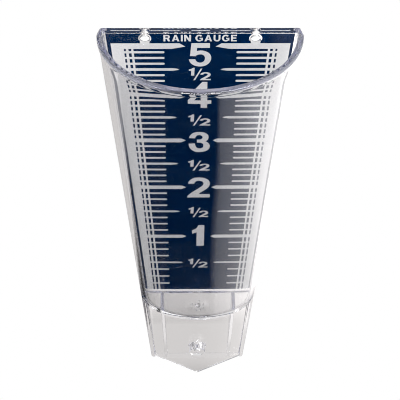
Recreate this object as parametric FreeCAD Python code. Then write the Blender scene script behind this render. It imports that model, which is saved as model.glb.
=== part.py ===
import FreeCAD, Part
import os
import math
from FreeCAD import Vector as V

os.makedirs("parts", exist_ok=True)

# ---------------------------------------------------------------------------
# Wall-mounted wedge rain gauge: one clear moulded body (back plate, tapered
# half-elliptical cup, rounded rim, floor, screw tab) with its scale printed in
# two inks on the rear face of the back plate. Millimetres.
#
# Working frame: X to the right seen from the front, Y = 0 on the front face of
# the back plate (the cup stands towards -Y), Z = 0 on the floor's upper face,
# which is the zero of the scale. Everything is moved at the end so that the
# origin is midway between the two upper screw holes on the rear face.
# ---------------------------------------------------------------------------

# cup
MOUTH_Z = 200.6          # height of the mouth above the floor
HW_TOP = 41.8            # inner half width at the mouth
HW_FLOOR = 32.2          # inner half width at the floor
D_TOP = 35.3             # inner depth at the mouth
D_FLOOR = 18.2           # inner depth at the floor
WALL = 2.5               # cup wall
PLATE = 2.5              # back plate
FLOOR = 2.5              # floor
RIM_PROUD = 0.55         # rim bead beyond the wall
RIM_H = 2.9              # rim bead height
R_RIM_OUT = 1.35         # rounding of the rim's outer top edge
R_RIM_IN = 0.9           # rounding of the rim's inner top edge
R_RIM_LOW = 0.5          # rounding under the rim
R_FLOOR_IN = 2.2         # inside corner at the floor

# screw tab under the cup
CORNER_Z = -80.6         # where the straight sides end
TIP_Z = -106.0           # pointed lower end
R_CORNER = 2.6
R_TIP = 2.0
R_TOP = 2.2              # top corners of the back plate
SKIRT_D0, SKIRT_D1 = 7.5, 3.0      # depth of the side flanges, top and bottom
SKIRT_Z1 = -78.0
RIB_X, RIB_T = 20.9, 2.0           # gusset ribs under the floor
RIB_D0, RIB_D1, RIB_Z1 = 14.4, 1.0, -76.6
BOSS_R, BOSS_H = 5.6, 4.6          # boss around the lower screw hole
LOW_HOLE_Z, LOW_HOLE_R = -68.6, 2.25
GATE_R, GATE_D, GATE_PIP_R = 6.4, 0.7, 1.6

# upper screw holes
HOLE_X, HOLE_Z, HOLE_R = 24.2, 195.4, 2.2
CLEAR_R = 2.9            # ring around each upper hole that has no ink

# print on the rear face
INK_MARK = 0.045         # light ink of the marks
INK_ALL = 0.09           # marks plus the dark ink behind them
INK_TOP, INK_BOT = 198.15, 1.2
INK_SIDE = 0.25          # dark ink stops this far inside the cup's inner wall
BAND_TOP = 192.8         # top of the light scale bands
BAND_X, BAND_TAPER = 39.4, 0.0478
FIELD_X0, FIELD_TAPER = 22.3, 0.0392
LINE1, CELL1, LINE2, CELL2 = 1.0, 1.2, 1.15, 0.85
TH_EIGHTH, TH_HALF, TH_INCH = 1.25, 1.55, 2.6
TIP_INCH = 6.5
# the screen sits a quarter of a millimetre to the right: each side's own set of the field, the outer edge and the tick ends
SET_FIELD, SET_BAND, SET_TICK = {-1: -0.28, 1: 0.25}, {-1: -0.10, 1: 0.30}, {-1: 0.05, 1: 0.42}
HALF_TIPS = {4.5: 9.3, 3.5: 10.8, 2.5: 10.4, 1.5: 9.8, 0.5: 8.5}

SIDE = (HW_TOP - HW_FLOOR) / MOUTH_Z
FRONT = (D_TOP - D_FLOOR) / MOUTH_Z


def hw(z):
    return HW_FLOOR + SIDE * z


def dep(z):
    return D_FLOOR + FRONT * z


# --- plan section: half ellipse in front of a straight back ------------------
def section(z, off, back):
    a, b = hw(z) + off, dep(z) + off
    e = Part.Ellipse(V(0, 0, z), a, b) if a >= b else None
    arc = Part.Arc(e, math.pi, 2 * math.pi).toShape()          # (-a,0) -> (0,-b) -> (a,0)
    if back <= 0:
        return Part.Wire([arc, Part.LineSegment(V(a, 0, z), V(-a, 0, z)).toShape()])
    return Part.Wire([arc,
                      Part.LineSegment(V(a, 0, z), V(a, back, z)).toShape(),
                      Part.LineSegment(V(a, back, z), V(-a, back, z)).toShape(),
                      Part.LineSegment(V(-a, back, z), V(-a, 0, z)).toShape()])


def shell(z0, z1, off, back=0.0):
    return Part.makeLoft([section(z0, off, back), section(z1, off, back)], True, True)


def edges_at(shape, test):
    return [e for e in shape.Edges if test(e)]


def curved(e):
    return e.Curve.TypeId != "Part::GeomLine"


def flat_at(e, z, tol=1e-3):
    b = e.BoundBox
    return abs(b.ZMin - z) < tol and abs(b.ZMax - z) < tol


def turned(loop, sign):
    """the loop in the given sense, without doubled points"""
    p = [q for i, q in enumerate(loop) if math.hypot(q[0] - loop[i - 1][0], q[1] - loop[i - 1][1]) > 1e-6]
    area = sum(p[i - 1][0] * p[i][1] - p[i][0] * p[i - 1][1] for i in range(len(p)))
    return p if area * sign > 0 else p[::-1]


def prism_xz(pts, y0, y1, holes=()):
    wires = []
    for i, loop in enumerate([pts] + list(holes)):
        p = [V(x, y0, z) for x, z in turned(loop, -1 if i else 1)]
        wires.append(Part.makePolygon(p + [p[0]]))
    f = Part.Face(wires)
    if f.Area < 0:
        f.reverse()
    return f.extrude(V(0, y1 - y0, 0))


def prism_yz(pts, x0, x1):
    p = [V(x0, y, z) for y, z in pts]
    return Part.Face(Part.makePolygon(p + [p[0]])).extrude(V(x1 - x0, 0, 0))


def drill_y(x, z, r, y0, y1):
    return Part.makeCylinder(r, y1 - y0, V(x, y0, z), V(0, 1, 0))


# --- clear body --------------------------------------------------------------
def make_body():
    outer = shell(SKIRT_Z1, MOUTH_Z, WALL)
    # below the floor only the side flanges stay, and they get lower downwards
    outer = outer.cut(prism_yz([(-60, -FLOOR), (-SKIRT_D0, -FLOOR), (-SKIRT_D1, SKIRT_Z1 - 0.5), (-60, SKIRT_Z1 - 0.5)], -60, 60))
    outer = outer.cut(shell(SKIRT_Z1 - 1, -FLOOR, 0.0))

    # rim bead: straight band, outer top edge and lower edge rounded
    z0 = MOUTH_Z - RIM_H
    rim = Part.makeLoft([section(z0, WALL + RIM_PROUD, 0), section(MOUTH_Z, WALL + RIM_PROUD, 0)], True, True)
    rim = rim.makeFillet(R_RIM_OUT, edges_at(rim, lambda e: curved(e) and flat_at(e, MOUTH_Z)))
    rim = rim.makeFillet(R_RIM_LOW, edges_at(rim, lambda e: curved(e) and flat_at(e, z0)))
    cut_top = Part.makeBox(200, 100, 10, V(-100, -100, MOUTH_Z - R_RIM_OUT))
    body = outer.cut(cut_top.common(Part.makeBox(200, 100, 10, V(-100, -100, MOUTH_Z - R_RIM_OUT)))).fuse(rim)

    # back plate: straight tapered sides, pointed foot
    wt, wb = hw(MOUTH_Z) + WALL, hw(CORNER_Z) + WALL
    plate = prism_xz([(-wt, MOUTH_Z), (wt, MOUTH_Z), (wb, CORNER_Z), (0, TIP_Z), (-wb, CORNER_Z)], 0, PLATE)

    def upright(e):
        b = e.BoundBox
        return b.YLength > PLATE - 0.01 and b.XLength < 1e-3 and b.ZLength < 1e-3
    corners = edges_at(plate, upright)
    plate = plate.makeFillet(R_TOP, [e for e in corners if e.BoundBox.ZMin > 100])
    corners = edges_at(plate, upright)
    plate = plate.makeFillet(R_CORNER, [e for e in corners if abs(e.BoundBox.ZMin - CORNER_Z) < 1])
    corners = edges_at(plate, upright)
    plate = plate.makeFillet(R_TIP, [e for e in corners if abs(e.BoundBox.ZMin - TIP_Z) < 1])
    trim = Part.makeBox(200, 10, 20, V(-100, -0.001, MOUTH_Z - 8)).cut(plate)
    body = body.cut(trim).fuse(plate)

    # gusset ribs between the floor and the tab
    for s in (-1, 1):
        rib = prism_yz([(0.4, -1.2), (-RIB_D0, -1.2), (-RIB_D0, -FLOOR - 0.8), (-RIB_D1, RIB_Z1), (0.4, RIB_Z1 - 1.5)],
                       s * RIB_X - RIB_T / 2, s * RIB_X + RIB_T / 2)
        body = body.fuse(rib)

    # boss around the lower screw hole
    boss = Part.makeCone(BOSS_R, BOSS_R - 0.35, BOSS_H + 0.4, V(0, 0.4, LOW_HOLE_Z), V(0, -1, 0))
    body = body.fuse(boss)
    body = body.removeSplitter()

    # inside of the cup
    cavity = shell(0, MOUTH_Z + 4, 0)
    cavity = cavity.makeFillet(R_FLOOR_IN, edges_at(cavity, lambda e: flat_at(e, 0)))
    body = body.cut(cavity)

    # inner edge of the mouth
    inner = edges_at(body, lambda e: curved(e) and flat_at(e, MOUTH_Z) and abs(e.BoundBox.XMax - HW_TOP) < 0.05)
    body = body.makeFillet(R_RIM_IN, inner)

    # screw holes and the recessed moulding gate under the floor
    for s in (-1, 1):
        body = body.cut(drill_y(s * HOLE_X, HOLE_Z, HOLE_R, -1, PLATE + 1))
    body = body.cut(drill_y(0, LOW_HOLE_Z, LOW_HOLE_R, -BOSS_H - 1, PLATE + 1))
    gate = Part.makeCylinder(GATE_R, GATE_D + 1, V(0, -dep(0) * 0.5, -FLOOR - 1))
    gate = gate.cut(Part.makeCylinder(GATE_PIP_R, GATE_D + 1, V(0, -dep(0) * 0.5, -FLOOR + 0.15)))
    body = body.cut(gate)
    return body


# --- calibrated scale --------------------------------------------------------
def catch(z):
    """rain depth in inches over the mouth that fills the cup to height z"""
    v = HW_FLOOR * D_FLOOR * z + (HW_FLOOR * FRONT + D_FLOOR * SIDE) * z ** 2 / 2 + SIDE * FRONT * z ** 3 / 3
    return v / (HW_TOP * D_TOP) / 25.4


def level(inches):
    lo, hi = 0.0, MOUTH_Z
    for _ in range(60):
        m = (lo + hi) / 2
        if catch(m) < inches:
            lo = m
        else:
            hi = m
    return lo


def field(z, s):
    return FIELD_X0 + FIELD_TAPER * z + SET_FIELD[s]


def band(z, s):
    return BAND_X - BAND_TAPER * (BAND_TOP - z) + SET_BAND[s]


def tick_end(z, s):
    return 16.4 - 0.7 * max(0.0, (z - 120.0) / 70.0) + SET_TICK[s]


def comb(s):
    """one side's graduations: outer band, two lines and the ticks, s = -1 left, +1 right"""
    top, bot = BAND_TOP, INK_BOT
    rows = []                                    # (upper z, lower z, loop of tick end points top to bottom)
    n = 40
    for k in range(n, 0, -1):
        q = k / 8.0
        z = level(q)
        if k == n:
            hi, lo = top, top - 3.2
            tip = TIP_INCH + (0.3 if s > 0 else 0.0)
            rows.append((hi, lo, [(tip + 2.6, hi), (tip, top - 1.85), (tip + 6.2, lo)]))
            continue
        if k % 8 == 0:
            th = TH_INCH + 0.25 * (1 - z / 190.0)
            hi, lo = z + th / 2, z - th / 2
            pts = [(TIP_INCH + 2.3, hi), (TIP_INCH, z), (TIP_INCH + 2.3, lo)]
        elif k % 4 == 0:
            th, tip = TH_HALF, HALF_TIPS[q]
            hi, lo = z + th / 2, z - th / 2
            pts = [(tip + 3.2, hi), (tip + 1.2, z + th * 0.32), (tip, z), (tip + 1.2, z - th * 0.32), (tip + 3.2, lo)]
        else:
            th = TH_EIGHTH + 0.1 * (1 - z / 190.0)
            hi, lo = z + th / 2, z - th / 2
            e = tick_end(z, s)
            pts = [(e + th / 2 * (1 - math.sin(t)), z + th / 2 * math.cos(t))
                   for t in [math.pi * i / 8 for i in range(9)]]
        rows.append((hi, lo, pts))
    loop = [(band(top, s), top)]
    for i, (hi, lo, pts) in enumerate(rows):
        if i:
            loop.append((field(hi, s), hi))
        loop += pts
        loop.append((field(lo, s), lo))
    loop += [(field(bot, s), bot), (band(bot, s), bot)]
    holes, notches = [], []
    for i in range(len(rows)):
        zt = rows[i][1]
        zb = rows[i + 1][0] if i + 1 < len(rows) else bot
        for x0, x1 in ((LINE1, LINE1 + CELL1), (LINE1 + CELL1 + LINE2, LINE1 + CELL1 + LINE2 + CELL2)):
            h = [(field(zt, s) + x0, zt), (field(zt, s) + x1, zt), (field(zb, s) + x1, zb), (field(zb, s) + x0, zb)]
            if zb > bot:
                holes.append(h)
            else:
                h[2] = (h[2][0], zb - 1)
                h[3] = (h[3][0], zb - 1)
                notches.append(h)
    m = lambda l: [(s * x, z) for x, z in l]
    y0 = PLATE - INK_ALL
    out = prism_xz(m(loop), y0, y0 + INK_MARK, [m(h) for h in holes])
    for h in notches:
        out = out.cut(prism_xz(m(h), y0 - 1, y0 + 1))
    return out


# --- characters: outlines as straight runs and cubic curves ------------------
def trace(start, steps, n=9):
    """steps: a pair is a straight run, three pairs are a cubic curve"""
    pts = [start]
    for st in steps:
        if len(st) == 2:
            pts.append(st)
            continue
        p0, p1, p2, p3 = pts[-1], st[0:2], st[2:4], st[4:6]
        for i in range(1, n + 1):
            t = i / n
            u = 1 - t
            pts.append(tuple(u ** 3 * p0[k] + 3 * u * u * t * p1[k] + 3 * u * t * t * p2[k] + t ** 3 * p3[k] for k in (0, 1)))
    return pts


FIVE = [trace((.12, 1), [(.93, 1), (.93, .80), (.365, .80), (.35, .655),
                         (.405, .685, .47, .69, .53, .69), (.79, .69, 1, .565, 1, .375),
                         (1, .155, .775, 0, .515, 0), (.25, 0, .035, .11, 0, .315), (.29, .32),
                         (.31, .225, .40, .17, .505, .17), (.64, .17, .72, .255, .72, .357),
                         (.72, .46, .64, .525, .515, .525), (.41, .525, .34, .49, .30, .445), (.05, .455)])]
FOUR = [[(.61, 1), (.824, 1), (.824, .39), (1, .39), (1, .205), (.824, .205), (.824, 0), (.546, 0),
         (.546, .205), (0, .205), (0, .405)],
        [(.546, .735), (.268, .39), (.546, .39)]]
THREE = [trace((.02, .70), [(.07, .90, .24, 1, .48, 1), (.76, 1, .94, .90, .94, .75),
                            (.94, .64, .88, .57, .785, .54), (.92, .50, 1, .42, 1, .29),
                            (1, .11, .79, 0, .505, 0), (.22, 0, .02, .15, 0, .42), (.295, .44),
                            (.32, .28, .39, .185, .515, .185), (.63, .185, .70, .23, .70, .32),
                            (.70, .415, .63, .475, .50, .478), (.39, .478), (.39, .625), (.49, .625),
                            (.60, .625, .655, .67, .655, .735), (.655, .81, .59, .848, .49, .848),
                            (.385, .848, .325, .79, .31, .69)])]
TWO = [trace((.03, .70), [(.065, .89, .25, 1, .51, 1), (.79, 1, .985, .89, .985, .705),
                          (.985, .555, .895, .455, .74, .36), (.63, .295, .545, .235, .50, .165), (1, .165), (1, 0),
                          (0, 0), (0, .07), (.105, .205, .315, .335, .51, .475),
                          (.65, .575, .71, .63, .71, .705), (.71, .79, .63, .84, .51, .84),
                          (.39, .84, .315, .785, .30, .69)])]
ONE = [trace((.49, .995), [(.98, 1), (.965, 0), (.36, 0), (.375, .655), (.01, .595), (0, .76),
                           (.30, .80, .45, .89, .49, .995)])]
SMALL_ONE = [trace((.70, 1), [(1, 1), (.93, 0), (.36, 0), (.42, .64), (.02, .60), (0, .80), (.38, .83, .62, .90, .70, 1)])]
SLASH = [[(.82, 1), (1, 1), (.21, 0), (0, 0)]]


def bow(cx, cz, rx, rz, a0, a1, n=14):
    return [(cx + rx * math.cos(math.radians(a0 + (a1 - a0) * i / n)),
             cz + rz * math.sin(math.radians(a0 + (a1 - a0) * i / n))) for i in range(n + 1)]


# plain capitals for the legend, in units of the capital height: loops and width
CAPS = {
    "R": ([[(0, 0), (0, 1)] + bow(.47, .69, .31, .31, 90, -55) + [(.82, 0), (.55, 0), (.38, .37), (.23, .37), (.23, 0)],
           [(.23, .80)] + bow(.45, .685, .115, .115, 90, -90) + [(.23, .57)]], .82),
    "A": ([[(0, 0), (.34, 1), (.58, 1), (.92, 0), (.67, 0), (.605, .21), (.315, .21), (.25, 0)],
           [(.375, .395), (.545, .395), (.46, .70)]], .92),
    "I": ([[(0, 0), (0, 1), (.23, 1), (.23, 0)]], .23),
    "N": ([[(0, 0), (0, 1), (.24, 1), (.60, .42), (.60, 1), (.82, 1), (.82, 0), (.58, 0), (.22, .58), (.22, 0)]], .82),
    "G": ([bow(.47, .5, .47, .52, 42, 318, 22) + [(.90, .11), (.90, .55), (.50, .55), (.50, .365), (.675, .365), (.675, .245)]
           + bow(.47, .5, .235, .315, -52, -318, 18)], .92),
    "U": ([[(0, 1), (.225, 1)] + bow(.41, .37, .185, .18, 180, 360, 12) + [(.595, 1), (.82, 1)]
           + bow(.41, .39, .41, .41, 0, -180, 18)], .82),
    "E": ([[(0, 0), (0, 1), (.70, 1), (.70, .80), (.23, .80), (.23, .605), (.64, .605), (.64, .415), (.23, .415),
            (.23, .20), (.72, .20), (.72, 0)]], .72),
}

Y_MARK = PLATE - INK_ALL


def glyph(loops, x0, z0, w, h):
    p = [[(x0 + u * w, z0 + v * h) for u, v in l] for l in loops]
    return prism_xz(p[0], Y_MARK, Y_MARK + INK_MARK, p[1:])


def numeral(loops, width, z0, z1, xc=0.0):
    return glyph(loops, xc - width / 2, z0, width, z1 - z0)


def half_mark(width, z0, z1):
    h, x0 = z1 - z0, -width / 2
    return [glyph(SMALL_ONE, x0, z0 + .37 * h, .262 * width, .63 * h),
            glyph(SLASH, x0 + .20 * width, z0, .41 * width, .93 * h),
            glyph(TWO, x0 + .505 * width, z0, .495 * width, .645 * h)]


def legend(text, z0, cap, gap, space):
    total = sum(space if c == " " else CAPS[c][1] + gap for c in text) - gap
    x, out = -total / 2 * cap, []
    for c in text:
        if c == " ":
            x += space * cap
            continue
        loops, w = CAPS[c]
        out.append(glyph(loops, x, z0, cap, cap))
        x += (w + gap) * cap
    return out


# --- print -------------------------------------------------------------------
ink_side = lambda z: hw(z) - INK_SIDE
outline = [(-ink_side(INK_TOP), INK_TOP), (ink_side(INK_TOP), INK_TOP),
           (ink_side(INK_BOT), INK_BOT), (-ink_side(INK_BOT), INK_BOT)]
panel = prism_xz(outline, PLATE - INK_ALL, PLATE)
for s in (-1, 1):
    panel = panel.cut(drill_y(s * HOLE_X, HOLE_Z, CLEAR_R, PLATE - 1, PLATE + 1))

ring_clear = [drill_y(s * HOLE_X, HOLE_Z, CLEAR_R, PLATE - 1, PLATE + 1) for s in (-1, 1)]
left = comb(-1).cut(Part.makeCompound(ring_clear))
right = comb(1).cut(Part.makeCompound(ring_clear))
numerals = [numeral(FIVE, 10.0, 179.3, 192.9), numeral(FOUR, 10.8, 154.7, 169.9), numeral(THREE, 10.4, 123.95, 138.35),
            numeral(TWO, 11.7, 88.5, 104.6), numeral(ONE, 6.8, 45.45, 64.55)]
halves = []
for w, z0, z1 in ((10.0, 170.95, 178.55), (10.5, 142.8, 150.3), (10.7, 110.05, 118.05), (10.5, 71.7, 80.3), (11.0, 24.0, 33.0)):
    halves += half_mark(w, z0, z1)
legend_solids = legend("RAIN GAUGE", 193.9, 3.65, .17, .34)

marks = [left, right] + numerals + halves + legend_solids
backing = panel.cut(Part.makeCompound(marks))

# --- body --------------------------------------------------------------------
body = make_body().cut(panel)

# --- write -------------------------------------------------------------------
MOVE = V(0, -PLATE, -HOLE_Z)
nodes = {
    "gauge_body": [body],
    "scale_backing": [backing],
    "graduations_left": [left],
    "graduations_right": [right],
    "inch_numerals": numerals,
    "half_inch_marks": halves,
    "header_legend": legend_solids,
}
for name, shapes in nodes.items():
    solids = []
    for s in shapes:
        solids += s.Solids
    out = solids[0] if len(solids) == 1 else Part.makeCompound(solids)
    out = out.copy()
    out.translate(MOVE)
    out.exportStep("parts/%s.step" % name)
    b = out.optimalBoundingBox(True, False)
    print("%-18s solids %2d valid %s faces %4d vol %10.2f  x %.2f..%.2f y %.2f..%.2f z %.2f..%.2f" % (
        name, len(solids), all(s.isValid() for s in solids), sum(len(s.Faces) for s in solids),
        sum(s.Volume for s in solids), b.XMin, b.XMax, b.YMin, b.YMax, b.ZMin, b.ZMax))
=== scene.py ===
import bpy, bmesh, math
from mathutils import Vector, Matrix


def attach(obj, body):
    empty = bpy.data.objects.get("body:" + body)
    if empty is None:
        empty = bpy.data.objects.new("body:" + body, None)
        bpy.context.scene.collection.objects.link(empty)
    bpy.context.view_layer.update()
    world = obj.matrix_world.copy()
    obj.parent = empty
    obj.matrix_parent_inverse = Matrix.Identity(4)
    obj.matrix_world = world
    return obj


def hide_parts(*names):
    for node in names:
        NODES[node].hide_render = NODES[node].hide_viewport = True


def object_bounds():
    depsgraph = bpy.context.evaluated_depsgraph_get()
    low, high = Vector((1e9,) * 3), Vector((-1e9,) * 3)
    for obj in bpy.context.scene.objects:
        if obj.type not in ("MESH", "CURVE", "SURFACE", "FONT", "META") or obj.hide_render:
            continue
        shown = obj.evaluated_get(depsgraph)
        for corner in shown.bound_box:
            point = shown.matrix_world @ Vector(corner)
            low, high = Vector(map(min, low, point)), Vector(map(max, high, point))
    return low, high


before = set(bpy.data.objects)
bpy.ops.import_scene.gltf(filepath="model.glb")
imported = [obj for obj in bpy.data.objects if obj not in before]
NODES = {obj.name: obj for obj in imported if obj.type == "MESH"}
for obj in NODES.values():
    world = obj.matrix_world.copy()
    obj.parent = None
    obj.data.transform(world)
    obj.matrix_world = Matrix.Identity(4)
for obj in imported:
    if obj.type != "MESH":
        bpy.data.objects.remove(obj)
CAD_LO, CAD_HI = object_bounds()

# ---------------------------------------------------------------------------
# dimensions, millimetres. Local frame: X right, Y = 0 on the plate's front
# face (the cup stands towards -Y), Z = 0 on the floor's upper face.
# ---------------------------------------------------------------------------
PLATE = 2.5
HOLE_Z = 195.4
MOUTH_Z = 200.6
HW_TOP, HW_FLOOR, D_TOP, D_FLOOR = 41.8, 32.2, 35.3, 18.2
WALL, FLOOR = 2.5, 2.5
RIM_PROUD, RIM_H, R_RIM_OUT, R_RIM_IN, R_RIM_LOW = 0.53, 2.9, 1.35, 0.9, 0.5
R_TOP, R_CORNER, R_TIP, R_FLOOR_IN = 2.2, 2.6, 2.0, 2.2
CORNER_Z, TIP_Z = -80.6, -106.0
SKIRT_D0, SKIRT_D1, SKIRT_Z1 = 7.5, 3.0, -78.0
RIB_X, RIB_T, RIB_D0, RIB_D1, RIB_Z1 = 20.9, 2.0, 14.4, 1.0, -76.6
BOSS_R, BOSS_H, LOW_HOLE_Z, LOW_HOLE_R = 5.6, 4.6, -68.6, 2.25
GATE_R, GATE_D, GATE_PIP_R = 6.4, 0.7, 1.6
HOLE_X, HOLE_R = 24.2, 2.2
REAR_GAP = 0.012          # the clear rear face lies this far inside the ink's rear face, so the ink is in optical contact
EDGE = 0.38               # small moulded edge rounding

SIDE = (HW_TOP - HW_FLOOR) / MOUTH_Z
FRONT = (D_TOP - D_FLOOR) / MOUTH_Z
BACK = PLATE - REAR_GAP


def hw(z):
    return HW_FLOOR + SIDE * z


def dep(z):
    return D_FLOOR + FRONT * z


def put(x, y, z):
    """local millimetres to the row frame in metres"""
    return Vector((x * 0.001, (y - PLATE) * 0.001, (z - HOLE_Z) * 0.001))


def obj_from(name, verts, faces):
    me = bpy.data.meshes.new(name)
    me.from_pydata(verts, [], faces)
    me.validate()
    me.update()
    ob = bpy.data.objects.new(name, me)
    bpy.context.scene.collection.objects.link(ob)
    bm = bmesh.new()
    bm.from_mesh(me)
    bmesh.ops.recalc_face_normals(bm, faces=bm.faces)
    bm.to_mesh(me)
    bm.free()
    return ob


def loft(name, rows, cap0=True, cap1=True):
    """closed tube through rows of equally many points"""
    n = len(rows[0])
    verts = [p for r in rows for p in r]
    faces = []
    for k in range(len(rows) - 1):
        for i in range(n):
            j = (i + 1) % n
            faces.append((k * n + i, k * n + j, (k + 1) * n + j, (k + 1) * n + i))
    if cap0:
        faces.append(tuple(range(n))[::-1])
    if cap1:
        faces.append(tuple((len(rows) - 1) * n + i for i in range(n)))
    return obj_from(name, verts, faces)


# ---------------------------------------------------------------------------
# the moulded clear body: one closed shell made in a single sweep (outside of
# the wall and plate, over the rim, down the inside, floor), then the open
# space under the floor, ribs, boss, holes and the gate recess
# ---------------------------------------------------------------------------
N_ARC = 160               # spans along the half ellipse
N_BACK = 40               # spans across the rear face
N_CORN = 4

# half width of the foot: rounded corners and rounded tip
WB = hw(CORNER_Z) + WALL
V_ANG = math.atan2(CORNER_Z - TIP_Z, WB)                    # slope of the V edge above horizontal
SIDE_ANG = math.atan(SIDE)


def foot_profile():
    """(z, half width) down the side below the skirt, with rounded corner and tip"""
    # corner arc tangent to the tapered side and to the V edge
    s = Vector((-math.sin(SIDE_ANG), -math.cos(SIDE_ANG)))   # direction down the right side (x, z)
    v = Vector((-math.cos(V_ANG), -math.sin(V_ANG)))         # direction down the right V edge
    c = Vector((WB, CORNER_Z))
    turn = s.angle(v)
    t = R_CORNER * math.tan(turn / 2)
    p0, p1 = c - s * t, c + v * t
    n0 = Vector((-s.y, s.x))                                 # normals to the inside
    if n0.x > 0:
        n0 = -n0
    centre = p0 + n0 * R_CORNER
    a0 = math.atan2((p0 - centre).y, (p0 - centre).x)
    a1 = math.atan2((p1 - centre).y, (p1 - centre).x)
    out = []
    for k in range(0, 9):
        a = a0 + (a1 - a0) * k / 8
        out.append((centre.y + R_CORNER * math.sin(a), centre.x + R_CORNER * math.cos(a)))
    # tip arc
    tc = Vector((0, TIP_Z + R_TIP / math.cos(V_ANG)))
    a0 = -V_ANG - math.pi / 2 + 2 * V_ANG                     # where the V edge leaves it, right side
    start = (tc.y + R_TIP * math.sin(-math.pi / 2 + V_ANG), R_TIP * math.cos(-math.pi / 2 + V_ANG))
    z_prev = out[-1][0]
    for k in range(1, 13):
        z = z_prev + (start[0] - z_prev) * k / 13
        out.append((z, (z - TIP_Z) / math.tan(V_ANG)))
    for k in range(0, 8):
        a = (-math.pi / 2 + V_ANG) + (-V_ANG) * k / 8
        out.append((tc.y + R_TIP * math.sin(a), R_TIP * math.cos(a)))
    out.append((tc.y - R_TIP * 0.9995, 0.06))
    return out


def thetas():
    return [math.pi + math.pi * i / N_ARC for i in range(N_ARC + 1)]


def perimeter(z, off, side_off, front_dep=None, r_edge=EDGE, back_cut=0.0, dz=None, wide=None):
    """outer section: half ellipse, plate sides, rounded rear edges, rear face. dz is not used."""
    a, b = hw(z) + off, dep(z) + off
    if wide is not None:
        a = wide
    if front_dep is not None:
        b = front_dep
    ws = (hw(z) + side_off) if wide is None else wide
    yb = BACK - back_cut
    pts = []
    for t in thetas():
        x, y = a * math.cos(t), b * math.sin(t)
        pts.append((x, y))
    # right plate side, from y = 0 to the rear rounding
    r = min(r_edge, ws * 0.6)
    for k in range(1, 4):
        f = k / 4
        e = ws + (a - ws) * (1 - f) ** 2
        pts.append((e, (yb - r) * f))
    for k in range(N_CORN + 1):
        g = math.pi / 2 * k / N_CORN
        pts.append((ws - r + r * math.cos(g), yb - r + r * math.sin(g)))
    for k in range(1, N_BACK):
        pts.append(((ws - r) * (1 - 2 * k / N_BACK), yb))
    for k in range(N_CORN + 1):
        g = math.pi / 2 + math.pi / 2 * k / N_CORN
        pts.append((-ws + r + r * math.cos(g), yb - r + r * math.sin(g)))
    for k in range(3, 0, -1):
        f = k / 4
        e = ws + (a - ws) * (1 - f) ** 2
        pts.append((-e, (yb - r) * f))
    return pts


R_IN = 0.9                # fillet between the cup wall and the plate's front face


def inner_line(z, off, y_front=0.0):
    """inner section with the same number of points: half ellipse, a small corner fillet, then the plate's front face"""
    a, b = hw(z) + off, dep(z) + off
    y_end = y_front - R_IN
    join = 6
    half = []
    y_join = b * math.sin(math.pi + math.pi * join / N_ARC)
    for i in range(N_ARC + 1):
        j = min(i, N_ARC - i)
        if j < join:
            y = y_end + (y_join - y_end) * j / join
            x = -a * math.sqrt(max(0.0, 1 - (y / b) ** 2)) * (1 if i < N_ARC / 2 else -1)
        else:
            t = math.pi + math.pi * i / N_ARC
            x, y = a * math.cos(t), b * math.sin(t)
        half.append((x, y))
    m = 3 + (N_CORN + 1) + (N_BACK - 1) + (N_CORN + 1) + 3
    edge = 3 + N_CORN + 1
    xe = half[-1][0]
    flat = []
    for k in range(1, m + 1):
        e = k if k <= edge else (m + 1 - k if k > m - edge else None)
        if e is not None:
            g = math.pi / 2 * e / edge
            x, y = xe - R_IN + R_IN * math.cos(g), y_end + R_IN * math.sin(g)
            flat.append((x if k <= edge else -x, y))
        else:
            flat.append(((xe - R_IN) * (1 - 2 * (k - edge) / (m + 1 - 2 * edge)), y_front))
    return half, flat


def flat_front(ws, r, rows_z):
    """section of the plate alone: front face at y = 0 with a small edge rounding"""
    pts = []
    rr = min(r, ws * 0.6)
    for t in thetas():
        x = ws * math.cos(t)
        over = max(0.0, abs(x) - (ws - rr))
        y = rr - math.sqrt(max(0.0, rr * rr - over * over))
        pts.append((x, y))
    return pts


rows = []
# foot, from the tip up
foot = foot_profile()[::-1]
for z, w in foot:
    sec = perimeter(z, WALL, WALL, front_dep=0.0, wide=w)
    fr = flat_front(w, EDGE, z)
    sec = [(x, fr[i][1]) if i <= N_ARC else (x, y) for i, (x, y) in enumerate(sec)]
    # plate sides start where the front rounding ends
    rr = min(EDGE, w * 0.6)
    for k in range(1, 4):
        f = k / 4
        sec[N_ARC + k] = (w, rr + (BACK - 2 * rr) * f)
        sec[len(sec) - k] = (-w, rr + (BACK - 2 * rr) * f)
    rows.append([put(x, y, z) for x, y in sec])


def wide_row(z, off, front_scale=1.0, proud=0.0):
    sec = perimeter(z, off, WALL)
    if front_scale < 1.0:
        sec = [(x, y * front_scale if y < 0 else y) for x, y in sec]
    return [put(x, y, z) for x, y in sec]


# lower end of the side flanges: the section grows out of the plate in a rounded step
zc = foot[-1][0]
for k, (z, f) in enumerate([(-78.6, 0.0), (-78.3, 0.0), (-78.0, 0.30), (-77.75, 0.62), (-77.4, 0.86), (-77.0, 0.97), (-76.6, 1.0)]):
    if z > zc + 0.05:
        rows.append(wide_row(z, WALL, front_scale=f))
R_LOW = 0.8               # rounding of the cup's lower front edge


def low_row(z):
    """full section with the front part drawn in towards the lower edge of the cup"""
    h = min(R_LOW, max(0.0, z + FLOOR))
    inset = R_LOW - math.sqrt(max(0.0, R_LOW ** 2 - (R_LOW - h) ** 2)) if z > -FLOOR - 0.5 else 0.0
    wide, tight = perimeter(z, WALL, WALL), perimeter(z, WALL - inset, WALL)
    out = []
    for i, ((x, y), (u, v)) in enumerate(zip(wide, tight)):
        f = min(1.0, max(0.0, (-y - SKIRT_D0 - 0.3) / 2.0)) if i <= N_ARC else 0.0
        out.append(put(x + (u - x) * f, y + (v - y) * f, z))
    return out


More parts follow.
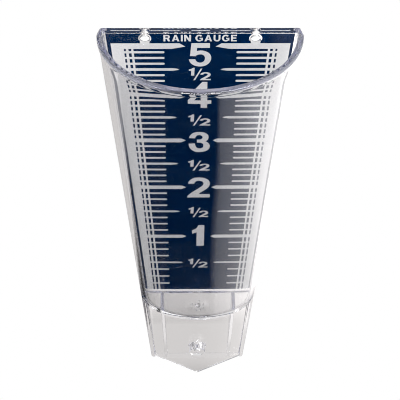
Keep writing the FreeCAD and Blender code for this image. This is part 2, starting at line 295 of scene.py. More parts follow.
z = -74.0
while z < -4.0:
    rows.append(wide_row(z, WALL))
    z += 9.0
rows.append(wide_row(-3.4, WALL))
for z in (-2.55, -2.5, -2.44, -2.36, -2.24, -2.08, -1.9, -1.7):
    rows.append(low_row(z))
z = 7.0
while z < MOUTH_Z - RIM_H - 8.5:
    rows.append(wide_row(z, WALL))
    z += 9.0

# rim bead: under edge, straight band, rounded top
z0 = MOUTH_Z - RIM_H


def rim_row(zf, of, uniform=True):
    """zf(i), of(i): height and offset of each point round the loop"""
    base = perimeter(MOUTH_Z, 0.0, 0.0)
    out = []
    n = len(base)
    for i in range(n):
        out.append((zf(i), of(i)))
    return out


def ring(zs, offs, back_cut):
    """one loop whose points have their own height, offset and rear cut"""
    n = N_ARC + 1 + 3 + (N_CORN + 1) + (N_BACK - 1) + (N_CORN + 1) + 3
    pts = []
    for i in range(n):
        z, o, c = zs(i), offs(i), back_cut(i)
        sec = perimeter(z, o, o, back_cut=c)
        pts.append(put(sec[i][0], sec[i][1], z))
    return pts


N_LOOP = N_ARC + 1 + 3 + (N_CORN + 1) + (N_BACK - 1) + (N_CORN + 1) + 3
I_SIDE_R = list(range(N_ARC + 1, N_ARC + 1 + 3))
I_BACK0, I_BACK1 = N_ARC + 4, N_LOOP - 4


def proud(i):
    """the bead stands proud round the front and dies away along the plate's sides"""
    if i <= N_ARC:
        return 1.0
    k = i - N_ARC if i <= N_ARC + 3 else (N_LOOP - i if i >= N_LOOP - 3 else 99)
    return max(0.0, 1.0 - (k / 3.2) ** 1.5) if k < 99 else 0.0


def top_r(i):
    """rounding of the outer top edge: small round the bead, larger at the plate's corners, small along the rear"""
    if i <= N_ARC:
        e = min(i, N_ARC - i) / N_ARC
        return R_RIM_OUT + (R_TOP - R_RIM_OUT) * max(0.0, 1 - e / 0.03) ** 2
    if I_BACK0 + N_CORN < i < I_BACK1 - N_CORN:
        return EDGE
    k = (i - N_ARC) if i < I_BACK0 + N_CORN + 1 else (N_LOOP - i)
    return R_TOP


def build_ring(zv, ov, cut):
    """zv(i), ov(i), cut(i) for each point; sides and rear edge share one offset so the corner rounds in the plate's plane"""
    pts = []
    for i in range(N_LOOP):
        z, o, c = zv(i), ov(i), cut(i)
        if i <= N_ARC:
            t = math.pi + math.pi * i / N_ARC
            x, y = (hw(z) + o) * math.cos(t), (dep(z) + o) * math.sin(t)
        else:
            sec = perimeter(z, o, o, back_cut=c)
            x, y = sec[i]
        pts.append(put(x, y, z))
    return pts


# below the bead the wall thickens gently towards it
SWELL, SWELL_H = 0.06, 6.0


def swell(z):
    return SWELL * max(0.0, 1 - (z0 - z) / SWELL_H) ** 2


for k in range(0, 8):
    zz = z0 - SWELL_H + (SWELL_H - 0.4) * k / 7
    rows.append(build_ring(lambda i, zz=zz: zz, lambda i, zz=zz: WALL + swell(zz) * proud(i), lambda i: 0.0))
for k in range(0, 6):
    g = math.pi / 2 * k / 5
    rows.append(build_ring(lambda i, g=g: z0 - 0.30 + 0.30 * math.sin(g) - 0.02,
                           lambda i, g=g: WALL + (swell(z0 - 0.3) + (RIM_PROUD * 0.78 - swell(z0 - 0.3)) * (1 - math.cos(g))) * proud(i), lambda i: 0.0))
for k in range(1, 6):
    g = math.pi / 2 * k / 5
    rows.append(build_ring(lambda i, g=g: z0 + R_RIM_LOW * (1 - math.cos(g)),
                           lambda i, g=g: WALL + RIM_PROUD * proud(i) * (0.78 + 0.22 * math.sin(g)), lambda i: 0.0))
rows.append(build_ring(lambda i: MOUTH_Z - R_TOP - 0.02 + 0.0, lambda i: WALL + RIM_PROUD * proud(i), lambda i: 0.0))
K_TOP = 9
for k in range(0, K_TOP + 1):
    g = math.pi / 2 * k / K_TOP

    def zv(i, g=g):
        r = top_r(i)
        return MOUTH_Z - r + r * math.sin(g)

    def ov(i, g=g):
        r = top_r(i)
        if I_BACK0 + N_CORN < i < I_BACK1 - N_CORN:
            return WALL - (R_TOP - R_TOP * math.cos(math.asin(min(1.0, max(0.0, (zv(i) - (MOUTH_Z - R_TOP)) / R_TOP)))))
        return WALL + RIM_PROUD * proud(i) - r + r * math.cos(g)

    def cut(i, g=g):
        zz = zv(i)
        r = EDGE
        h = max(0.0, zz - (MOUTH_Z - r))
        return r - math.sqrt(max(0.0, r * r - h * h))
    rows.append(build_ring(zv, ov, cut))

# over the top and down the inside
def inside_row(z, off, y_front=0.0):
    half, flat = inner_line(z, off, y_front)
    return [put(x, y, z) for x, y in half + flat]


K_IN = 9
R_PL = 0.5                # rounding of the plate's front top edge
PL_FALL = 0.75            # the plate's top face falls this much towards the front
M_FLAT = N_LOOP - N_ARC - 1
for k in range(0, K_IN + 1):
    g = math.pi / 2 * (1 - k / K_IN)
    pts = []
    for i in range(N_LOOP):
        # the bead's small inner rounding passes into the plate's larger one over the corner fillet
        e = 0 if i <= N_ARC else min(i - N_ARC, N_LOOP - i, 3 + N_CORN + 1)
        f = e / (3 + N_CORN + 1)
        r = R_RIM_IN + (R_PL - R_RIM_IN) * f
        z = MOUTH_Z - PL_FALL * f - r + r * math.sin(g)
        o = r - r * math.cos(g)
        half, flat = inner_line(z, o, o)
        x, y = half[i] if i <= N_ARC else flat[i - N_ARC - 1]
        pts.append(put(x, y, z))
    rows.append(pts)
z = MOUTH_Z - 4.0
while z > 8:
    rows.append(inside_row(z, 0.0))
    z -= 9.0
rows.append(inside_row(R_FLOOR_IN + 1.5, 0.0))
R_FLOOR_PL = 0.6          # the same fillet along the plate
for k in range(0, 9):
    g = math.pi / 2 * k / 8
    pts = []
    for i in range(N_LOOP):
        e = 0 if i <= N_ARC else min(i - N_ARC, N_LOOP - i, 3 + N_CORN + 1)
        r = R_FLOOR_IN + (R_FLOOR_PL - R_FLOOR_IN) * e / (3 + N_CORN + 1)
        zz = r - r * math.sin(g)
        o = -(r - r * math.cos(g))
        half, flat = inner_line(zz, o, o)
        x, y = half[i] if i <= N_ARC else flat[i - N_ARC - 1]
        pts.append(put(x, y, zz))
    rows.append(pts)

body = loft("clear_body", rows)


def boolean(target, tool, op):
    m = target.modifiers.new("b", "BOOLEAN")
    m.operation, m.solver, m.object = op, "EXACT", tool
    dg = bpy.context.evaluated_depsgraph_get()
    me = bpy.data.meshes.new_from_object(target.evaluated_get(dg))
    target.modifiers.clear()
    old = target.data
    target.data = me
    bpy.data.meshes.remove(old)
    bpy.data.objects.remove(tool)
    return target


# space under the floor: only the plate and its side flanges stay
R_FL, R_CO = 0.9, 0.9      # flange free edge rounding, fillet between flange and plate


def pocket_row(z, d):
    a, b = hw(z), dep(z)
    r = min(R_FL, d * 0.45)
    e = -(d - r)
    xo = (a + WALL) * math.sqrt(max(0.0, 1 - (e / (b + WALL)) ** 2))
    xi = a * math.sqrt(max(0.0, 1 - (e / b) ** 2))
    arc = [math.pi / 2 * k / 6 for k in range(7)]
    side = [(70.0, e + 0.1), (xo + 0.6, e + 0.1)]
    ro = r + 0.1                                                                      # starts just outside, so it meets the wall at an angle
    side += [(xo + 0.1 - ro + ro * math.cos(g), e + 0.1 - ro * math.sin(g)) for g in arc]   # outer corner of the free edge
    side += [(xi + r - r * math.sin(g), e - r * math.cos(g)) for g in arc]            # inner corner
    y1 = -min(R_CO, d * 0.4)
    for k in range(1, 7):
        y = e + (y1 - e) * k / 7
        side.append((a * math.sqrt(1 - (y / b) ** 2), y))
    xc = a * math.sqrt(1 - (y1 / b) ** 2)
    side += [(xc + y1 - y1 * math.cos(g), y1 - y1 * math.sin(g)) for g in arc]        # fillet to the plate's face
    return [(-x, y) for x, y in side] + side[::-1] + [(70, -70), (-70, -70)]


prow = []
for z, d in [(-FLOOR, SKIRT_D0)] + [(-FLOOR - k * 75.5 / 10, SKIRT_D0 + (SKIRT_D1 - SKIRT_D0) * k / 10) for k in range(1, 10)] + [(-78.0, SKIRT_D1)]:
    prow.append([put(x, y, z) for x, y in pocket_row(z, d)])
boolean(body, loft("pocket", prow[::-1]), "DIFFERENCE")


# gusset ribs
def rib(s):
    pts = [(0.6, -1.0), (-RIB_D0, -1.0), (-RIB_D0, -FLOOR - 0.8), (-RIB_D1, RIB_Z1), (0.6, RIB_Z1 - 1.7)]
    x0, x1 = s * RIB_X - RIB_T / 2, s * RIB_X + RIB_T / 2
    verts = [put(x, y, z) for x in (x0, x1) for y, z in pts]
    n = len(pts)
    faces = [tuple(range(n)), tuple(range(n, 2 * n))[::-1]] + [(i, (i + 1) % n, n + (i + 1) % n, n + i) for i in range(n)]
    ob = obj_from("rib", verts, faces)
    bm = bmesh.new()
    bm.from_mesh(ob.data)
    es = []
    for e in bm.edges:
        a, b = e.verts[0].co, e.verts[1].co
        if abs(a.x - b.x) < 1e-6 and min(a.y, b.y) < put(0, -0.5, 0).y and max(a.y, b.y) < put(0, -0.5, 0).y:
            es.append(e)
    bmesh.ops.bevel(bm, geom=es, offset=0.00035, segments=3, profile=0.5, affect="EDGES")
    bm.to_mesh(ob.data)
    bm.free()
    return ob


for s in (-1, 1):
    boolean(body, rib(s), "UNION")


def lathe(name, prof, centre, axis, n=72):
    """closed profile [(r, t)] turned about an axis; t runs along it"""
    ax = Vector(axis).normalized()
    u = ax.orthogonal().normalized()
    w = ax.cross(u)
    c = Vector(centre)
    verts, faces = [], []
    rings = []
    for r, t in prof:
        if r < 1e-6:
            rings.append([len(verts)])
            verts.append(c + ax * t * 0.001)
        else:
            rings.append([len(verts) + i for i in range(n)])
            for i in range(n):
                g = 2 * math.pi * i / n
                verts.append(c + ax * t * 0.001 + (u * math.cos(g) + w * math.sin(g)) * r * 0.001)
    for k in range(len(rings) - 1):
        a, b = rings[k], rings[k + 1]
        for i in range(n):
            j = (i + 1) % n
            if len(a) == 1 and len(b) == 1:
                continue
            if len(a) == 1:
                faces.append((a[0], b[j], b[i]))
            elif len(b) == 1:
                faces.append((a[i], a[j], b[0]))
            else:
                faces.append((a[i], a[j], b[j], b[i]))
    if len(rings[0]) > 1 and len(rings[-1]) > 1 and prof[0] == prof[-1]:
        pass
    return obj_from(name, verts, faces)


# boss round the lower hole: drafted side, rounded rim
arc = [(BOSS_R - 0.35 - 0.5 + 0.5 * math.cos(g), BOSS_H - 0.5 + 0.5 * math.sin(g)) for g in [math.pi / 2 * k / 5 for k in range(6)]]
boss = [(0, -0.8), (BOSS_R + 0.35, -0.8), (BOSS_R + 0.35, -0.05), (BOSS_R + 0.12, 0.16), (BOSS_R, 0.5)] + arc + [(0, BOSS_H)]
boolean(body, lathe("boss", boss, put(0, 0, LOW_HOLE_Z), (0, -1, 0)), "UNION")


def drill(r, y_front, y_back, flare=0.28):
    """hole cutter along +Y with small lead-ins: t runs from the front"""
    L = y_back - y_front
    f = flare
    end = [(r, f), (r + f * 0.12, f * 0.55), (r + f * 0.45, f * 0.15), (r + f + 0.7, -f * 0.6), (r + f + 0.7, -3), (0, -3)]
    return end[::-1] + [(q, L - t) for q, t in end]


for s in (-1, 1):
    boolean(body, lathe("hole", drill(HOLE_R, 0, BACK), put(s * HOLE_X, 0, HOLE_Z), (0, 1, 0)), "DIFFERENCE")
boolean(body, lathe("hole", drill(LOW_HOLE_R, -BOSS_H, BACK, 0.3), put(0, -BOSS_H, LOW_HOLE_Z), (0, 1, 0)), "DIFFERENCE")

# recessed moulding gate under the floor: a shallow dish, and in it the rough stub where the sprue broke off
gate = [(0, -1.0), (GATE_R + 0.9, -1.0), (GATE_R + 0.55, -0.15), (GATE_R + 0.1, 0.02), (GATE_R - 0.6, 0.10), (GATE_R - 1.4, 0.26), (GATE_R - 2.3, 0.46),
        (GATE_R - 3.2, 0.62), (GATE_R - 4.0, GATE_D), (0, GATE_D)]
boolean(body, lathe("gate", gate, put(0, -dep(0) * 0.5, -FLOOR), (0, 0, 1)), "DIFFERENCE")


def stub(cx, cy, r, h, n, seed):
    """an irregular broken stub standing down from the dish"""
    verts, faces = [], []
    for k, (q, t) in enumerate(((1.0, 0.25), (0.86, -0.35 * h), (0.55, -0.8 * h))):
        for i in range(n):
            g = 2 * math.pi * (i + 0.37 * k) / n
            w = 1 + 0.28 * math.sin(seed * 3.1 + i * 2.3 + k * 1.7) + 0.12 * math.sin(seed + i * 5.1)
            zz = t + (0.16 * h * math.sin(seed * 1.3 + i * 1.9) if k else 0.0)
            verts.append(put(cx + r * q * w * math.cos(g), cy + r * q * w * math.sin(g), -FLOOR + GATE_D + zz))
    verts.append(put(cx + 0.1 * r, cy - 0.15 * r, -FLOOR + GATE_D - h))
    for k in range(2):
        for i in range(n):
            j = (i + 1) % n
            faces.append((k * n + i, k * n + j, (k + 1) * n + j, (k + 1) * n + i))
    faces.append(tuple(range(n))[::-1])
    for i in range(n):
        faces.append((2 * n + i, 2 * n + (i + 1) % n, 3 * n))
    return obj_from("stub", verts, faces)


GX, GY = 0.0, -dep(0) * 0.5
for cx, cy, r, h, n, seed in ((0.1, 0.0, 1.7, 1.25, 9, 1.0), (-3.6, 1.0, 0.7, 0.8, 6, 2.0), (3.4, 0.9, 0.65, 0.75, 6, 3.4), (-2.7, -2.2, 0.6, 0.7, 5, 4.1),
                              (-0.8, -3.4, 0.55, 0.65, 5, 5.3), (1.2, -3.2, 0.6, 0.7, 6, 6.2), (3.1, -1.8, 0.6, 0.7, 6, 7.7), (0.5, 3.3, 0.65, 0.75, 6, 8.5)):
    boolean(body, stub(GX + cx, GY + cy, r, h, n, seed), "UNION")

# clean
bm = bmesh.new()
bm.from_mesh(body.data)
bmesh.ops.remove_doubles(bm, verts=bm.verts, dist=2e-6)
bmesh.ops.dissolve_degenerate(bm, edges=bm.edges, dist=1e-6)
# long faces round the gate become triangles, and a triangle that lies back to back on another goes with it
gate_c = put(GX, GY, -FLOOR)
bmesh.ops.triangulate(bm, faces=[f for f in bm.faces if len(f.verts) > 4 or (f.calc_center_median() - gate_c).length < 0.009])
bm.verts.index_update()
groups = {}
for f in bm.faces:
    groups.setdefault(tuple(sorted(v.index for v in f.verts)), []).append(f)
doubles = [f for g in groups.values() if len(g) > 1 for f in g]
bmesh.ops.delete(bm, geom=doubles, context="FACES")
print("BODY back-to-back faces removed", len(doubles))
bmesh.ops.recalc_face_normals(bm, faces=bm.faces)
bad = [e for e in bm.edges if not e.is_manifold]
print("BODY faces", len(bm.faces), "verts", len(bm.verts), "non-manifold edges", len(bad), "volume mm3", round(bm.calc_volume() * 1e9, 1))
for e in bad[:6]:
    print("   bad at", [tuple(round(c * 1000, 2) for c in v.co) for v in e.verts])
bm.to_mesh(body.data)
bm.free()
for p in body.data.polygons:
    p.use_smooth = True
body.data.set_sharp_from_angle(angle=math.radians(32))
wn = body.modifiers.new("wn", "WEIGHTED_NORMAL")
wn.keep_sharp, wn.weight, wn.mode = True, 60, "FACE_AREA"

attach(body, "root")
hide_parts("gauge_body")


# ---------------------------------------------------------------------------
# materials
# ---------------------------------------------------------------------------
def srgb(r, g, b):
    f = lambda c: (c / 255 / 12.92) if c / 255 <= 0.04045 else ((c / 255 + 0.055) / 1.055) ** 2.4
    return (f(r), f(g), f(b), 1.0)


class Mat:
    def __init__(self, name):
        self.m = bpy.data.materials.new(name)
        self.m.use_nodes = True
        self.t = self.m.node_tree
        self.t.nodes.clear()
        self.out = self.n("ShaderNodeOutputMaterial")

    def n(self, kind, **kw):
        node = self.t.nodes.new(kind)
        for k, v in kw.items():
            if hasattr(node, k):
                setattr(node, k, v)
            else:
                node.inputs[k.replace("_", " ")].default_value = v
        return node

    def link(self, a, b):
        self.t.links.new(a, b)


def clear_plastic():
    M = Mat("clear_polystyrene")
    co = M.n("ShaderNodeTexCoord")
    # slow flow lines down the wall and fine handling haze
    mp = M.n("ShaderNodeMapping")
    mp.inputs["Scale"].default_value = (1.0, 1.0, 0.22)
    M.link(co.outputs["Object"], mp.inputs["Vector"])
    flow = M.n("ShaderNodeTexNoise", Scale=55.0, Detail=2.0, Roughness=0.45)
    M.link(mp.outputs[0], flow.inputs["Vector"])
    bump = M.n("ShaderNodeBump", Strength=0.012, Distance=0.001)
    M.link(flow.outputs["Fac"], bump.inputs["Height"])
    haze = M.n("ShaderNodeTexNoise", Scale=420.0, Detail=3.0, Roughness=0.6)
    M.link(co.outputs["Object"], haze.inputs["Vector"])
    rr = M.n("ShaderNodeMapRange")
    rr.inputs["From Min"].default_value, rr.inputs["From Max"].default_value = 0.35, 0.75
    rr.inputs["To Min"].default_value, rr.inputs["To Max"].default_value = 0.012, 0.045
    M.link(haze.outputs["Fac"], rr.inputs["Value"])
    b = M.n("ShaderNodeBsdfPrincipled")
    b.inputs["Base Color"].default_value = (0.992, 0.990, 0.992, 1)
    b.inputs["Transmission Weight"].default_value = 1.0
    b.inputs["IOR"].default_value = 1.59
    M.link(rr.outputs[0], b.inputs["Roughness"])
    M.link(bump.outputs[0], b.inputs["Normal"])
    tr = M.n("ShaderNodeBsdfTransparent")
    tr.inputs["Color"].default_value = (0.93, 0.94, 0.94, 1)
    lp = M.n("ShaderNodeLightPath")
    mx = M.n("ShaderNodeMixShader")
    M.link(lp.outputs["Is Shadow Ray"], mx.inputs["Fac"])
    M.link(b.outputs[0], mx.inputs[1])
    M.link(tr.outputs[0], mx.inputs[2])
    M.link(mx.outputs[0], M.out.inputs["Surface"])
    # faint violet of the resin, seen only along the wall
    va = M.n("ShaderNodeVolumeAbsorption", Density=10.0)
    va.inputs["Color"].default_value = (0.68, 0.69, 0.80, 1)
    M.link(va.outputs[0], M.out.inputs["Volume"])
    return M.m


def ink(name, dark, light, rough, scale=900.0, contrast=1.0):
    """screen-print ink: fine mesh mottling, slow density drift and a few pinholes"""
    M = Mat(name)
    co = M.n("ShaderNodeTexCoord")
    fine = M.n("ShaderNodeTexNoise", Scale=scale, Detail=3.0, Roughness=0.6)
    slow = M.n("ShaderNodeTexNoise", Scale=38.0, Detail=2.0, Roughness=0.5)
    M.link(co.outputs["Object"], fine.inputs["Vector"])
    M.link(co.outputs["Object"], slow.inputs["Vector"])
    add = M.n("ShaderNodeMath", operation="ADD")
    m1 = M.n("ShaderNodeMath", operation="MULTIPLY")
    m1.inputs[1].default_value = 0.55
    m2 = M.n("ShaderNodeMath", operation="MULTIPLY")
    m2.inputs[1].default_value = 0.45
    M.link(fine.outputs["Fac"], m1.inputs[0])
    M.link(slow.outputs["Fac"], m2.inputs[0])
    M.link(m1.outputs[0], add.inputs[0])
    M.link(m2.outputs[0], add.inputs[1])
    ramp = M.n("ShaderNodeValToRGB")
    ramp.color_ramp.elements[0].position, ramp.color_ramp.elements[0].color = 0.5 - 0.16 / contrast, dark
    ramp.color_ramp.elements[1].position, ramp.color_ramp.elements[1].color = 0.5 + 0.16 / contrast, light
    M.link(add.outputs[0], ramp.inputs["Fac"])
    b = M.n("ShaderNodeBsdfPrincipled")
    M.link(ramp.outputs[0], b.inputs["Base Color"])
    rr = M.n("ShaderNodeMapRange")
    rr.inputs["To Min"].default_value, rr.inputs["To Max"].default_value = rough - 0.06, rough + 0.08
    M.link(fine.outputs["Fac"], rr.inputs["Value"])
    M.link(rr.outputs[0], b.inputs["Roughness"])
    # the front of the ink is wetted by the clear plate, so only its rear face has a surface sheen
    geo = M.n("ShaderNodeNewGeometry")
    sep = M.n("ShaderNodeSeparateXYZ")
    M.link(geo.outputs["Normal"], sep.inputs[0])
    rear = M.n("ShaderNodeMapRange")
    rear.inputs["From Min"].default_value, rear.inputs["From Max"].default_value = 0.2, 0.8
    rear.inputs["To Min"].default_value, rear.inputs["To Max"].default_value = 0.0, 0.35
    M.link(sep.outputs["Y"], rear.inputs["Value"])
    M.link(rear.outputs[0], b.inputs["Specular IOR Level"])
    bump = M.n("ShaderNodeBump", Strength=0.12, Distance=0.00004)
    M.link(fine.outputs["Fac"], bump.inputs["Height"])
    M.link(bump.outputs[0], b.inputs["Normal"])
    M.link(b.outputs[0], M.out.inputs["Surface"])
    return M.m


CLEAR = clear_plastic()
NAVY = ink("navy_ink", srgb(0, 29, 63), srgb(3, 36, 73), 0.5)
WHITE = ink("silver_white_ink", srgb(220, 219, 220), srgb(231, 230, 230), 0.45)
body.data.materials.clear()
body.data.materials.append(CLEAR)
for name, mat in (("scale_backing", NAVY), ("graduations_left", WHITE), ("graduations_right", WHITE),
                  ("inch_numerals", WHITE), ("half_inch_marks", WHITE), ("header_legend", WHITE)):
    ob = NODES[name]
    if not ob.material_slots:
        ob.data.materials.append(mat)
    for s in ob.material_slots:
        s.material = mat

# ---------------------------------------------------------------------------
# stage: pale floor, cards, lights, world
# ---------------------------------------------------------------------------
FLOOR_Z = CAD_LO.z - 0.0005
me = bpy.data.meshes.new("floor")
S = 6.0
me.from_pydata([(-S, -S, FLOOR_Z), (S, -S, FLOOR_Z), (S, S, FLOOR_Z), (-S, S, FLOOR_Z)], [], [(0, 1, 2, 3)])
floor = bpy.data.objects.new("floor", me)
bpy.context.scene.collection.objects.link(floor)
M = Mat("floor_white")
lp = M.n("ShaderNodeLightPath")
e1 = M.n("ShaderNodeEmission", Strength=1.0)
e1.inputs["Color"].default_value = (1.0, 1.0, 1.0, 1)
# painted light: the floor's glow as every ray but a camera ray meets it; camera rays see it evenly white
e2 = M.n("ShaderNodeEmission")
e2.inputs["Color"].default_value = (1.0, 0.972, 0.958, 1)


def ramp_of(M, value, lo, hi, stops, top):
    """a piecewise linear function of a value as a colour ramp scaled by top"""
    mr = M.n("ShaderNodeMapRange")
    mr.inputs["From Min"].default_value, mr.inputs["From Max"].default_value = lo, hi
    M.link(value, mr.inputs["Value"])
    r = M.n("ShaderNodeValToRGB")
    r.color_ramp.interpolation = "LINEAR"
    while len(r.color_ramp.elements) < len(stops):
        r.color_ramp.elements.new(0.5)
    for e, (at, v) in zip(r.color_ramp.elements, stops):
        e.position = (at - lo) / (hi - lo)
    for e, (at, v) in zip(r.color_ramp.elements, stops):
        e.color = (v / top, v / top, v / top, 1)
    M.link(mr.outputs[0], r.inputs["Fac"])
    m = M.n("ShaderNodeMath", operation="MULTIPLY")
    m.inputs[1].default_value = top
    M.link(r.outputs["Color"], m.inputs[0])
    return m.outputs[0]


# painted light and shade: for every ray but a camera ray the floor glows, dimmest just in front of the gauge (a painted
# shadow), brighter to the right and behind (painted light)
geo = M.n("ShaderNodeNewGeometry")
sep = M.n("ShaderNodeSeparateXYZ")
M.link(geo.outputs["Position"], sep.inputs[0])
fwd = M.n("ShaderNodeMath", operation="MINIMUM")
fwd.inputs[1].default_value = 0.0
M.link(sep.outputs["Y"], fwd.inputs[0])
skew = M.n("ShaderNodeMath", operation="MULTIPLY_ADD")
skew.inputs[1].default_value = 0.32
M.link(fwd.outputs[0], skew.inputs[0])
M.link(sep.outputs["X"], skew.inputs[2])
near = ramp_of(M, skew.outputs[0], -0.2, 0.25, [(-0.2, 0.68), (-0.1, 0.62), (-0.03, 0.44), (0.006, 0.37), (0.03, 0.55), (0.06, 0.68), (0.096, 0.78), (0.15, 1.1), (0.211, 1.45)], 1.5)
far = ramp_of(M, sep.outputs["X"], -0.1, 0.2, [(-0.1, 0.68), (0.0, 0.70), (0.02, 0.76), (0.075, 1.05), (0.15, 1.4)], 1.5)
bl = M.n("ShaderNodeMapRange", interpolation_type="SMOOTHSTEP")
bl.inputs["From Min"].default_value, bl.inputs["From Max"].default_value = -0.012, 0.012
M.link(sep.outputs["Y"], bl.inputs["Value"])
gain = M.n("ShaderNodeMapRange", interpolation_type="SMOOTHSTEP")
gain.inputs["From Min"].default_value, gain.inputs["From Max"].default_value = 0.036, 0.062
gain.inputs["To Min"].default_value, gain.inputs["To Max"].default_value = 1.0, 1.35
M.link(sep.outputs["Y"], gain.inputs["Value"])
inner = M.n("ShaderNodeMapRange", interpolation_type="SMOOTHSTEP")
inner.inputs["From Min"].default_value, inner.inputs["From Max"].default_value = -0.05, -0.03
M.link(sep.outputs["X"], inner.inputs["Value"])
part = M.n("ShaderNodeMix", data_type="FLOAT")
part.inputs[2].default_value = 0.93
M.link(inner.outputs[0], part.inputs[0])
M.link(gain.outputs[0], part.inputs[3])
deep = M.n("ShaderNodeMath", operation="MULTIPLY")
M.link(far, deep.inputs[0])
M.link(part.outputs[0], deep.inputs[1])
far = deep.outputs[0]
mixv = M.n("ShaderNodeMix", data_type="FLOAT")
M.link(bl.outputs[0], mixv.inputs[0])
M.link(near, mixv.inputs[2])
M.link(far, mixv.inputs[3])
M.link(mixv.outputs[0], e2.inputs["Strength"])
mx = M.n("ShaderNodeMixShader")
M.link(lp.outputs["Is Camera Ray"], mx.inputs["Fac"])
M.link(e2.outputs[0], mx.inputs[1])
M.link(e1.outputs[0], mx.inputs[2])
# seen from underneath the floor is not there
under = M.n("ShaderNodeBsdfTransparent")
mz = M.n("ShaderNodeMixShader")
M.link(geo.outputs["Backfacing"], mz.inputs["Fac"])
M.link(mx.outputs[0], mz.inputs[1])
M.link(under.outputs[0], mz.inputs[2])
M.link(mz.outputs[0], M.out.inputs["Surface"])
M.m.cycles.emission_sampling = "NONE"
floor.data.materials.append(M.m)


def mirrored(C):
    """1 for a ray that has been reflected at least once, 0 for one that came straight through"""
    lp = C.n("ShaderNodeLightPath")
    m = C.n("ShaderNodeMath", operation="GREATER_THAN")
    m.inputs[1].default_value = 0.5
    C.link(lp.outputs["Glossy Depth"], m.inputs[0])
    return m.outputs[0]


def card(name, pts, z, value, tint=(1, 1, 1)):
    """a flat glowing card just over the floor that only reflections meet: a painted reflection"""
    me = bpy.data.meshes.new(name)
    me.from_pydata([(x * 0.001, y * 0.001, z) for x, y in pts], [], [tuple(range(len(pts)))])
    ob = bpy.data.objects.new(name, me)
    bpy.context.scene.collection.objects.link(ob)
    C = Mat(name)
    d = C.n("ShaderNodeEmission", Strength=value)
    d.inputs["Color"].default_value = (*tint, 1)
    tr = C.n("ShaderNodeBsdfTransparent")
    fx = C.n("ShaderNodeMixShader")
    C.link(mirrored(C), fx.inputs["Fac"])
    C.link(tr.outputs[0], fx.inputs[1])
    C.link(d.outputs[0], fx.inputs[2])
    C.link(fx.outputs[0], C.out.inputs["Surface"])
    C.m.cycles.emission_sampling = "NONE"
    ob.data.materials.append(C.m)
    ob.visible_camera = False
    ob.visible_diffuse = False
    ob.visible_shadow = False
    return ob


# painted dark reflection: a dark card in front of the gauge, and a slightly lighter one to its left, seen only in
# mirror reflections; they block no light and cast no shadow
EDGE_R = [(22, -40, 5), (33, -85, 8), (36, -96, 9), (42, -112, 10), (47, -133, 12), (58, -152, 14), (69, -171, 13), (79, -205, 9), (85, -240, 9), (92, -362, 12), (110, -900, 30)]
EDGE_L = [(-50, -40), (-71, -65), (-87, -88), (-109, -126), (-147, -205), (-500, -900)]
pts = [(x + w, y, 0.0) for x, y, w in EDGE_R] + [(x, y, 0.5) for x, y, w in EDGE_R] + [(x - w, y, 1.0) for x, y, w in EDGE_R]
n_e = len(EDGE_R)
faces = [(r * n_e + i, r * n_e + i + 1, (r + 1) * n_e + i + 1, (r + 1) * n_e + i) for r in (0, 1) for i in range(n_e - 1)]
k0 = len(pts)
pts += [(x, y, 1.0) for x, y in EDGE_L]
faces.append(tuple(2 * n_e + i for i in range(n_e)) + tuple(k0 + i for i in range(len(EDGE_L)))[::-1])
me = bpy.data.meshes.new("dark_reflection_card")
me.from_pydata([(x * 0.001, y * 0.001, FLOOR_Z + 0.004) for x, y, a in pts], [], faces)
at = me.attributes.new("cover", "FLOAT", "POINT")
for i, (x, y, a) in enumerate(pts):
    at.data[i].value = a
dark_reflection_card = bpy.data.objects.new("dark_reflection_card", me)
bpy.context.scene.collection.objects.link(dark_reflection_card)
# painted reflection: the card glows almost black where reflected rays meet it and is clear to every other ray
C = Mat("dark_reflection_card")
d = C.n("ShaderNodeEmission", Strength=0.0015)
tr = C.n("ShaderNodeBsdfTransparent")
an = C.n("ShaderNodeAttribute", attribute_name="cover")
fx = C.n("ShaderNodeMixShader")
cv = C.n("ShaderNodeMath", operation="MULTIPLY")
C.link(an.outputs["Fac"], cv.inputs[0])
C.link(mirrored(C), cv.inputs[1])
C.link(cv.outputs[0], fx.inputs["Fac"])
C.link(tr.outputs[0], fx.inputs[1])
C.link(d.outputs[0], fx.inputs[2])
C.link(fx.outputs[0], C.out.inputs["Surface"])
C.m.cycles.emission_sampling = "NONE"
dark_reflection_card.data.materials.append(C.m)
dark_reflection_card.visible_camera = dark_reflection_card.visible_diffuse = dark_reflection_card.visible_shadow = False
# painted highlight: a bright card low in front, met only by mirror reflections; it gives the rounded upper edges their
# highlight and lights nothing
me = bpy.data.meshes.new("highlight_card")
me.from_pydata([(-0.34, -1.2, -0.10), (0.34, -1.2, -0.10), (0.34, -1.2, 0.50), (-0.34, -1.2, 0.50)], [], [(0, 1, 2, 3)])
highlight_card = bpy.data.objects.new("highlight_card", me)
bpy.context.scene.collection.objects.link(highlight_card)
C = Mat("highlight_card")
d = C.n("ShaderNodeEmission", Strength=13.0)
d.inputs["Color"].default_value = (1.0, 0.98, 0.98, 1)
C.link(d.outputs[0], C.out.inputs["Surface"])
C.m.cycles.emission_sampling = "NONE"
highlight_card.data.materials.append(C.m)
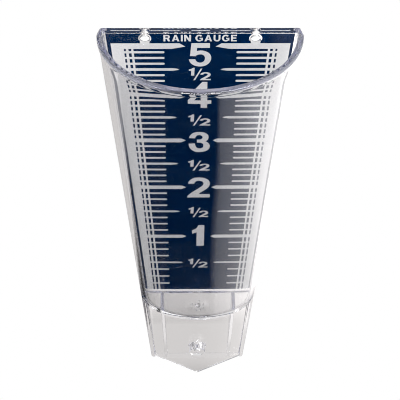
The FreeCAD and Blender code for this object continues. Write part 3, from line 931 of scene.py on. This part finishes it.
# bright wall off to the right, met by reflected and refracted rays
me = bpy.data.meshes.new("right_wall")
me.from_pydata([(0.7, -0.9, -0.30), (0.7, 0.9, -0.30), (0.7, 0.9, 0.9), (0.7, -0.9, 0.9)], [], [(0, 1, 2, 3)])
right_wall = bpy.data.objects.new("right_wall", me)
bpy.context.scene.collection.objects.link(right_wall)
C = Mat("right_wall")
d = C.n("ShaderNodeEmission", Strength=1.1)
C.link(d.outputs[0], C.out.inputs["Surface"])
C.m.cycles.emission_sampling = "NONE"
right_wall.data.materials.append(C.m)
me = bpy.data.meshes.new("left_wall")
me.from_pydata([(-0.7, -0.9, -0.30), (-0.7, 0.9, -0.30), (-0.7, 0.9, 0.9), (-0.7, -0.9, 0.9)], [], [(0, 1, 2, 3)])
left_wall = bpy.data.objects.new("left_wall", me)
bpy.context.scene.collection.objects.link(left_wall)
C = Mat("left_wall")
d = C.n("ShaderNodeEmission", Strength=0.5)
C.link(d.outputs[0], C.out.inputs["Surface"])
C.m.cycles.emission_sampling = "NONE"
left_wall.data.materials.append(C.m)
left_wall.visible_camera = left_wall.visible_diffuse = left_wall.visible_shadow = False
right_wall.visible_camera = right_wall.visible_diffuse = right_wall.visible_shadow = False
highlight_card.visible_camera = highlight_card.visible_diffuse = highlight_card.visible_shadow = highlight_card.visible_transmission = False
# painted dark reflection: a nearly black card to the gauge's left, seen only in mirror reflections
side_card = card("side_card", [(-50, -40), (-71, -65), (-87, -88), (-109, -126), (-147, -205), (-500, -900), (-1500, -900), (-1500, 60), (-60, 60)],
                 FLOOR_Z + 0.004, 0.02)

w = bpy.data.worlds.new("w")
bpy.context.scene.world = w
w.use_nodes = True
nt = w.node_tree
nt.nodes.clear()
wo = nt.nodes.new("ShaderNodeOutputWorld")
bg1 = nt.nodes.new("ShaderNodeBackground")
bg1.inputs["Color"].default_value = (1, 1, 1, 1)
bg1.inputs["Strength"].default_value = 1.0
bg2 = nt.nodes.new("ShaderNodeBackground")
bg2.inputs["Color"].default_value = (1.0, 0.995, 0.99, 1)
bg2.inputs["Strength"].default_value = 0.80
lpw = nt.nodes.new("ShaderNodeLightPath")
mxw = nt.nodes.new("ShaderNodeMixShader")
nt.links.new(lpw.outputs["Is Camera Ray"], mxw.inputs["Fac"])
nt.links.new(bg2.outputs[0], mxw.inputs[1])
nt.links.new(bg1.outputs[0], mxw.inputs[2])
nt.links.new(mxw.outputs[0], wo.inputs["Surface"])


def area(name, loc, target, size, power, size_y=None):
    L = bpy.data.lights.new(name, "AREA")
    L.energy = power
    L.size = size
    if size_y:
        L.shape, L.size_y = "RECTANGLE", size_y
    ob = bpy.data.objects.new(name, L)
    bpy.context.scene.collection.objects.link(ob)
    ob.location = loc
    ob.rotation_mode = "QUATERNION"
    ob.rotation_quaternion = (Vector(target) - Vector(loc)).to_track_quat("-Z", "Y")
    return ob


mid = Vector((0, -0.02, -0.10))
area("key", (0.5, -0.7, 0.9), mid, 0.7, 8.2)
area("fill", (-0.9, -0.4, 0.5), mid, 0.8, 4.8)

# ---------------------------------------------------------------------------
# camera
# ---------------------------------------------------------------------------
cam = bpy.data.cameras.new("camera")
cam.sensor_width = 36.0
cam.lens = 78.655
camo = bpy.data.objects.new("camera", cam)
bpy.context.scene.collection.objects.link(camo)
AZ = 0.0173                # the camera stands a degree to the left of the gauge's own middle plane
loc = put(-294.3 * math.sin(AZ), -294.3 * math.cos(AZ), 446.06)
tgt = put(0, 0, 85.76)
ROLL = 0.0104
q = (tgt - loc).to_track_quat("-Z", "Y")
camo.rotation_mode = "QUATERNION"
camo.location = loc
camo.rotation_quaternion = q @ Matrix.Rotation(ROLL, 3, "Z").to_quaternion()
cam.shift_x = 0.0035
cam.clip_start, cam.clip_end = 0.01, 50
bpy.context.scene.camera = camo

sc = bpy.context.scene
sc.view_settings.view_transform = "Standard"
sc.view_settings.look = "None"
sc.view_settings.exposure = 0.0
sc.view_settings.gamma = 1.0
cy = sc.cycles
cy.max_bounces = 96
cy.transmission_bounces = 64
cy.glossy_bounces = 96
cy.diffuse_bounces = 3
cy.transparent_max_bounces = 32
cy.filter_width = 1.0
cy.caustics_reflective = True
cy.caustics_refractive = True
cy.sample_clamp_indirect = 6.0
cy.blur_glossy = 0.3
